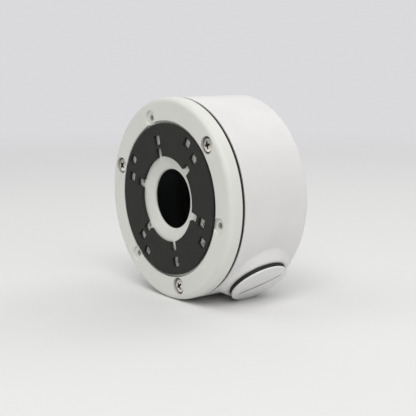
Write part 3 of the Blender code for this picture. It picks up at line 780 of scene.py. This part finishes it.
def makePlug():
    s = plugShape
    face = s["headBase"] + s["headThickness"]
    tip = -entryShape["length"]
    hollow = s["thread"] - s["wall"]

    def domeHeight(radius):
        return face + s["dome"] * (1 - (radius / plugRadius) ** 2)

    crown = [(radius, domeHeight(radius))
             for radius in (plugRadius * k / s["domeSteps"] for k in range(s["domeSteps"]))]
    bm = spun(crown + [(plugRadius, face), (plugRadius, s["headBase"]), (s["core"], s["headBase"]),
                       (s["core"], tip), (hollow, tip), (hollow, face - s["floor"]),
                       (0, face - s["floor"])], s["steps"])
    roundRing(bm, plugRadius, face, s["edgeRound"])
    roundRing(bm, plugRadius, s["headBase"], s["seatRound"])
    roundRing(bm, s["core"], tip, s["tipRound"])
    roundRing(bm, hollow, tip, s["hollowRound"])
    plug = makeObject("conduitPlug", bm, plugView, [plugCoat, dustAndShadeCoat])
    ridge = threadRidge(tip + s["pitch"] * s["ridgeStart"], s["headBase"] - s["pitch"] * s["ridgeEnd"])
    carve(plug, [ridge], plugView, "UNION")

    # The slot is cut by a disc that leaves the dome at the slot's ends
    half = s["slotLength"] / 2
    reach = s["slotDepth"] - s["dome"] * (half / plugRadius) ** 2
    disc = (half ** 2 + reach ** 2) / (2 * reach)
    blade = spun(plainSection(0, disc, -s["slotWidth"] / 2, s["slotWidth"] / 2), s["slotSteps"])
    lift = Matrix.Translation((0, 0, face + s["dome"] - s["slotDepth"] + disc))
    turn = Matrix.Rotation(radians(s["slotTurn"]), 4, "Z") @ Matrix.Rotation(pi / 2, 4, "X")
    carve(plug, [blade], plugView @ lift @ turn)
    toPlug = plugView.inverted()

    # Faces in the slot take the darker coat: painted shade with a little dust
    def isSlot(c):
        spot = toPlug @ c
        depth = domeHeight(spot.xy.length) - spot.z
        return about / 2 < depth < s["slotDepth"] + about and spot.xy.length < half

    finishPiece(plug, "conduit_plug", sharpAngle=30, finishOf=isSlot)


sealShape = {"pressed": 0.05 * mm, "bulge": 0.3 * mm, "round": (0.28 * mm, 4), "steps": 144}


def makeSeal():
    s = sealShape
    inner, outer = entryShape["thread"] + gap, sealRadius + s["bulge"]
    low, high = s["pressed"], plugShape["headBase"] - s["pressed"]
    bm = spun(plainSection(inner, outer, low, high), s["steps"])
    for radius in (inner, outer):
        for height in (low, high):
            roundRing(bm, radius, height, s["round"])
    finishPiece(makeObject("plugSeal", bm, plugView, [gasketRubber]), "plug_seal")


makeBackBox()
makeGasket()
makeCover()
makePad()
makeScrews()
makePlug()
makeSeal()


stageLook = {
    "radius": 3.0, "below": 0.02 * mm, "floorColour": (0.808, 0.808, 0.803),
    "fadeStart": 0.25, "fadeEnd": 1.1, "grainScale": 30.0, "rough": 0.75, "roughGrain": 0.1,
    "worldColour": (0.98, 0.99, 1.0), "worldLevel": 0.315, "backdrop": (0.705, 0.697, 0.716),
}


def makeFloor():
    bm = bmesh.new()
    bmesh.ops.create_circle(bm, cap_ends=True, cap_tris=False, segments=96, radius=stageLook["radius"])
    floor = makeObject("floor", bm, Matrix.Translation((0, 0, cadBounds[0][2] - stageLook["below"])))
    material, f = newFinish("paleFloor")
    place = f.place()
    away = f.distanceTo(place, (0, 0, cadBounds[0][2]))
    grain = f.noise(place, stageLook["grainScale"], detail=3.0)
    f.surface(Base_Color=(*stageLook["floorColour"], 1),
              Roughness=stageLook["rough"] + grain * stageLook["roughGrain"],
              Alpha=1 - f.between(away, stageLook["fadeStart"], stageLook["fadeEnd"]))
    floor.data.materials.append(material)


def makeWorld():
    # Even light from all round, with its own colour where the camera sees it
    world = bpy.data.worlds.new("studio")
    bpy.context.scene.world = world
    f = Finish(world)
    rays = f.add("ShaderNodeLightPath")
    seen = rays["Is Camera Ray"] + rays["Is Transmission Ray"]
    light = f.add("ShaderNodeBackground", {}, {"Color": (*stageLook["worldColour"], 1),
                                               "Strength": stageLook["worldLevel"]})
    wall = f.add("ShaderNodeBackground", {}, {"Color": (*stageLook["backdrop"], 1), "Strength": 1.0})
    mixed = f.add("ShaderNodeMixShader", {}, {0: seen, 1: light["Background"], 2: wall["Background"]})
    f.add("ShaderNodeOutputWorld", {}, {"Surface": mixed["Shader"]})


lampSize = 0.8
lampLook = {
    "frontLeft": {"from": (-0.55, -0.55, 1.05), "power": 3.1, "colour": (1.0, 0.99, 0.98)},
    "frontRight": {"from": (0.55, -0.55, 1.05), "power": 7.4, "colour": (1.0, 0.99, 0.98)},
    "right": {"from": (1.0, 0.0, 0.85), "power": 2.9, "colour": (1.0, 0.985, 0.98)},
    "back": {"from": (0.05, 0.95, 0.85), "power": 3.3, "colour": (1.0, 0.99, 0.98)},
    "backLeft": {"from": (-0.8, 0.5, 0.85), "power": 1.6, "colour": (1.0, 0.99, 0.98)},
}


def makeLamps():
    for name, s in lampLook.items():
        data = bpy.data.lights.new(name, "AREA")
        data.shape, data.size, data.energy, data.color = "SQUARE", lampSize, s["power"], s["colour"]
        lamp = bpy.data.objects.new(name, data)
        lamp.location = s["from"]
        lamp.rotation_euler = (-Vector(s["from"])).to_track_quat("-Z", "Y").to_euler()
        bpy.context.scene.collection.objects.link(lamp)


viewLook = {
    "azimuth": 54.84, "elevation": 8.82, "distance": 443.75 * mm, "nearest": 0.01,
    "focalPixels": 900.0, "imageWidth": 416, "frontCentrePixel": (166.85, 199.0), "sensor": 36.0,
}


def makeCamera():
    # Turned so that the middle of the cover's face falls on its own pixel
    s = viewLook
    azimuth, elevation = radians(s["azimuth"]), radians(s["elevation"])
    back = Vector((sin(azimuth) * cos(elevation), -cos(azimuth) * cos(elevation), sin(elevation)))
    frontCentre = Vector((0, -frontHeight, 0))
    place = frontCentre + back * s["distance"]
    right = Vector((cos(azimuth), sin(azimuth), 0))
    up = back.cross(right)
    half = s["imageWidth"] / 2
    aside = (half - s["frontCentrePixel"][0]) / s["focalPixels"] * s["distance"]
    below = (half - s["frontCentrePixel"][1]) / s["focalPixels"] * s["distance"]
    target = frontCentre + right * aside - up * below
    data = bpy.data.cameras.new("camera")
    data.sensor_width = s["sensor"]
    data.lens = s["focalPixels"] / s["imageWidth"] * s["sensor"]
    data.clip_start = s["nearest"]
    camera = bpy.data.objects.new("camera", data)
    camera.location = place
    camera.rotation_euler = (place - target).to_track_quat("Z", "Y").to_euler()
    bpy.context.scene.collection.objects.link(camera)
    bpy.context.scene.camera = camera


makeFloor()
makeWorld()
makeLamps()
makeCamera()
bpy.context.scene.view_settings.view_transform = "Standard"
print("stage made")
